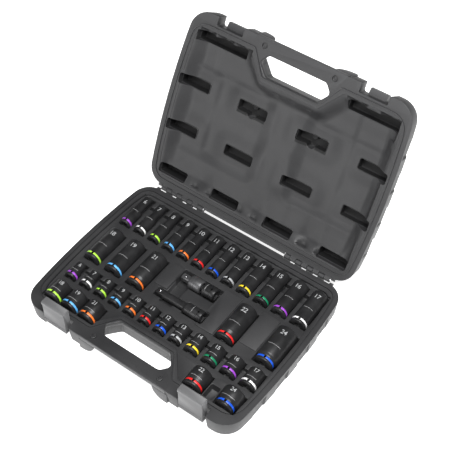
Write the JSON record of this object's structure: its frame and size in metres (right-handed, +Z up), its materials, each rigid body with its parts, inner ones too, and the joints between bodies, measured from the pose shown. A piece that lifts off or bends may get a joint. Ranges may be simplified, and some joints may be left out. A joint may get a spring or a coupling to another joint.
{
  "type": "socket wrench set in case",
  "caption": "Hinged blow-moulded carry case with two latches, holding deep and shallow impact sockets, an extension bar and a swivel adapter.",
  "frame": {"origin": "centre of the case's flat underside", "axes": "+X along the hinge, -Y towards the carrying handle, +Z up"},
  "size_m": [0.378, 0.4454, 0.2849],
  "materials": {
    "case_plastic": "fine moulded texture, charcoal",
    "latch_plastic": "fine moulded texture, mid grey",
    "black_steel": "black manganese phosphate on forged steel",
    "bright_steel": "plain ground steel",
    "band_colour": "size bands in assorted colours",
    "numeral_paint": "light grey printed size numerals"
  },
  "bodies": {
    "base": {"base_shell": "case_plastic", "tray_front_left": "case_plastic", "tray_front_right": "case_plastic", "tray_shallow_row": "case_plastic", "tray_middle_left": "case_plastic", "tray_extension": "case_plastic", "tray_swivel": "case_plastic", "tray_middle_right": "case_plastic", "tray_deep_row": "case_plastic", "latch_pin_left": "bright_steel", "latch_pin_right": "bright_steel", "hinge_pin_left": "bright_steel", "hinge_pin_right": "bright_steel"},
    "lid": {"lid_shell": "case_plastic", "lid_panel": "case_plastic"},
    "latch_left": {"latch_left": "latch_plastic"},
    "latch_right": {"latch_right": "latch_plastic"},
    "swivel_drive": {"swivel_male_half": "black_steel", "swivel_ball": "bright_steel"},
    "swivel_driven": {"swivel_socket_half": "black_steel"},
    "extension": {"extension_bar": "black_steel", "extension_ball": "bright_steel"},
    "socket_deep_06": {"socket_deep_06": "black_steel"},
    "socket_deep_07": {"socket_deep_07": "black_steel"},
    "socket_deep_08": {"socket_deep_08": "black_steel"},
    "socket_deep_09": {"socket_deep_09": "black_steel"},
    "socket_deep_10": {"socket_deep_10": "black_steel"},
    "socket_deep_11": {"socket_deep_11": "black_steel"},
    "socket_deep_12": {"socket_deep_12": "black_steel"},
    "socket_deep_13": {"socket_deep_13": "black_steel"},
    "socket_deep_14": {"socket_deep_14": "black_steel"},
    "socket_deep_15": {"socket_deep_15": "black_steel"},
    "socket_deep_16": {"socket_deep_16": "black_steel"},
    "socket_deep_17": {"socket_deep_17": "black_steel"},
    "socket_deep_18": {"socket_deep_18": "black_steel"},
    "socket_deep_19": {"socket_deep_19": "black_steel"},
    "socket_deep_21": {"socket_deep_21": "black_steel"},
    "socket_deep_22": {"socket_deep_22": "black_steel"},
    "socket_deep_24": {"socket_deep_24": "black_steel"},
    "socket_shallow_06": {"socket_shallow_06": "black_steel"},
    "socket_shallow_07": {"socket_shallow_07": "black_steel"},
    "socket_shallow_08": {"socket_shallow_08": "black_steel"},
    "socket_shallow_09": {"socket_shallow_09": "black_steel"},
    "socket_shallow_10": {"socket_shallow_10": "black_steel"},
    "socket_shallow_11": {"socket_shallow_11": "black_steel"},
    "socket_shallow_12": {"socket_shallow_12": "black_steel"},
    "socket_shallow_13": {"socket_shallow_13": "black_steel"},
    "socket_shallow_14": {"socket_shallow_14": "black_steel"},
    "socket_shallow_15": {"socket_shallow_15": "black_steel"},
    "socket_shallow_16": {"socket_shallow_16": "black_steel"},
    "socket_shallow_17": {"socket_shallow_17": "black_steel"},
    "socket_shallow_18": {"socket_shallow_18": "black_steel"},
    "socket_shallow_19": {"socket_shallow_19": "black_steel"},
    "socket_shallow_21": {"socket_shallow_21": "black_steel"},
    "socket_shallow_22": {"socket_shallow_22": "black_steel"},
    "socket_shallow_24": {"socket_shallow_24": "black_steel"}
  },
  "joints": [
    {"name": "lid_hinge", "type": "hinge", "parent": "base", "child": "lid", "pos_m": [0, 0.145, 0.032], "axis": [-1, 0, 0], "range_deg": [-118, 0]},
    {"name": "latch_left_pivot", "type": "hinge", "parent": "base", "child": "latch_left", "pos_m": [-0.119, -0.134, 0.02], "axis": [1, 0, 0], "range_deg": [0, 100]},
    {"name": "latch_right_pivot", "type": "hinge", "parent": "base", "child": "latch_right", "pos_m": [0.119, -0.134, 0.02], "axis": [1, 0, 0], "range_deg": [0, 100]},
    {"name": "swivel_bend", "type": "hinge", "parent": "swivel_drive", "child": "swivel_driven", "pos_m": [0.002, 0.029, 0.0255], "axis": [0, -1, 0], "range_deg": [0, 12]},
    {"name": "lift_swivel", "type": "slide", "parent": "base", "child": "swivel_drive", "axis": [0, 0, 1], "range_m": [0, 0.06]},
    {"name": "lift_extension", "type": "slide", "parent": "base", "child": "extension", "axis": [0, 0, 1], "range_m": [0, 0.06]},
    {"name": "lift_deep_06", "type": "slide", "parent": "base", "child": "socket_deep_06", "axis": [0, 0, 1], "range_m": [0, 0.06]},
    {"name": "lift_deep_07", "type": "slide", "parent": "base", "child": "socket_deep_07", "axis": [0, 0, 1], "range_m": [0, 0.06]},
    {"name": "lift_deep_08", "type": "slide", "parent": "base", "child": "socket_deep_08", "axis": [0, 0, 1], "range_m": [0, 0.06]},
    {"name": "lift_deep_09", "type": "slide", "parent": "base", "child": "socket_deep_09", "axis": [0, 0, 1], "range_m": [0, 0.06]},
    {"name": "lift_deep_10", "type": "slide", "parent": "base", "child": "socket_deep_10", "axis": [0, 0, 1], "range_m": [0, 0.06]},
    {"name": "lift_deep_11", "type": "slide", "parent": "base", "child": "socket_deep_11", "axis": [0, 0, 1], "range_m": [0, 0.06]},
    {"name": "lift_deep_12", "type": "slide", "parent": "base", "child": "socket_deep_12", "axis": [0, 0, 1], "range_m": [0, 0.06]},
    {"name": "lift_deep_13", "type": "slide", "parent": "base", "child": "socket_deep_13", "axis": [0, 0, 1], "range_m": [0, 0.06]},
    {"name": "lift_deep_14", "type": "slide", "parent": "base", "child": "socket_deep_14", "axis": [0, 0, 1], "range_m": [0, 0.06]},
    {"name": "lift_deep_15", "type": "slide", "parent": "base", "child": "socket_deep_15", "axis": [0, 0, 1], "range_m": [0, 0.06]},
    {"name": "lift_deep_16", "type": "slide", "parent": "base", "child": "socket_deep_16", "axis": [0, 0, 1], "range_m": [0, 0.06]},
    {"name": "lift_deep_17", "type": "slide", "parent": "base", "child": "socket_deep_17", "axis": [0, 0, 1], "range_m": [0, 0.06]},
    {"name": "lift_deep_18", "type": "slide", "parent": "base", "child": "socket_deep_18", "axis": [0, 0, 1], "range_m": [0, 0.06]},
    {"name": "lift_deep_19", "type": "slide", "parent": "base", "child": "socket_deep_19", "axis": [0, 0, 1], "range_m": [0, 0.06]},
    {"name": "lift_deep_21", "type": "slide", "parent": "base", "child": "socket_deep_21", "axis": [0, 0, 1], "range_m": [0, 0.06]},
    {"name": "lift_deep_22", "type": "slide", "parent": "base", "child": "socket_deep_22", "axis": [0, 0, 1], "range_m": [0, 0.06]},
    {"name": "lift_deep_24", "type": "slide", "parent": "base", "child": "socket_deep_24", "axis": [0, 0, 1], "range_m": [0, 0.06]},
    {"name": "lift_shallow_06", "type": "slide", "parent": "base", "child": "socket_shallow_06", "axis": [0, 0, 1], "range_m": [0, 0.06]},
    {"name": "lift_shallow_07", "type": "slide", "parent": "base", "child": "socket_shallow_07", "axis": [0, 0, 1], "range_m": [0, 0.06]},
    {"name": "lift_shallow_08", "type": "slide", "parent": "base", "child": "socket_shallow_08", "axis": [0, 0, 1], "range_m": [0, 0.06]},
    {"name": "lift_shallow_09", "type": "slide", "parent": "base", "child": "socket_shallow_09", "axis": [0, 0, 1], "range_m": [0, 0.06]},
    {"name": "lift_shallow_10", "type": "slide", "parent": "base", "child": "socket_shallow_10", "axis": [0, 0, 1], "range_m": [0, 0.06]},
    {"name": "lift_shallow_11", "type": "slide", "parent": "base", "child": "socket_shallow_11", "axis": [0, 0, 1], "range_m": [0, 0.06]},
    {"name": "lift_shallow_12", "type": "slide", "parent": "base", "child": "socket_shallow_12", "axis": [0, 0, 1], "range_m": [0, 0.06]},
    {"name": "lift_shallow_13", "type": "slide", "parent": "base", "child": "socket_shallow_13", "axis": [0, 0, 1], "range_m": [0, 0.06]},
    {"name": "lift_shallow_14", "type": "slide", "parent": "base", "child": "socket_shallow_14", "axis": [0, 0, 1], "range_m": [0, 0.06]},
    {"name": "lift_shallow_15", "type": "slide", "parent": "base", "child": "socket_shallow_15", "axis": [0, 0, 1], "range_m": [0, 0.06]},
    {"name": "lift_shallow_16", "type": "slide", "parent": "base", "child": "socket_shallow_16", "axis": [0, 0, 1], "range_m": [0, 0.06]},
    {"name": "lift_shallow_17", "type": "slide", "parent": "base", "child": "socket_shallow_17", "axis": [0, 0, 1], "range_m": [0, 0.06]},
    {"name": "lift_shallow_18", "type": "slide", "parent": "base", "child": "socket_shallow_18", "axis": [0, 0, 1], "range_m": [0, 0.06]},
    {"name": "lift_shallow_19", "type": "slide", "parent": "base", "child": "socket_shallow_19", "axis": [0, 0, 1], "range_m": [0, 0.06]},
    {"name": "lift_shallow_21", "type": "slide", "parent": "base", "child": "socket_shallow_21", "axis": [0, 0, 1], "range_m": [0, 0.06]},
    {"name": "lift_shallow_22", "type": "slide", "parent": "base", "child": "socket_shallow_22", "axis": [0, 0, 1], "range_m": [0, 0.06]},
    {"name": "lift_shallow_24", "type": "slide", "parent": "base", "child": "socket_shallow_24", "axis": [0, 0, 1], "range_m": [0, 0.06]}
  ]
}
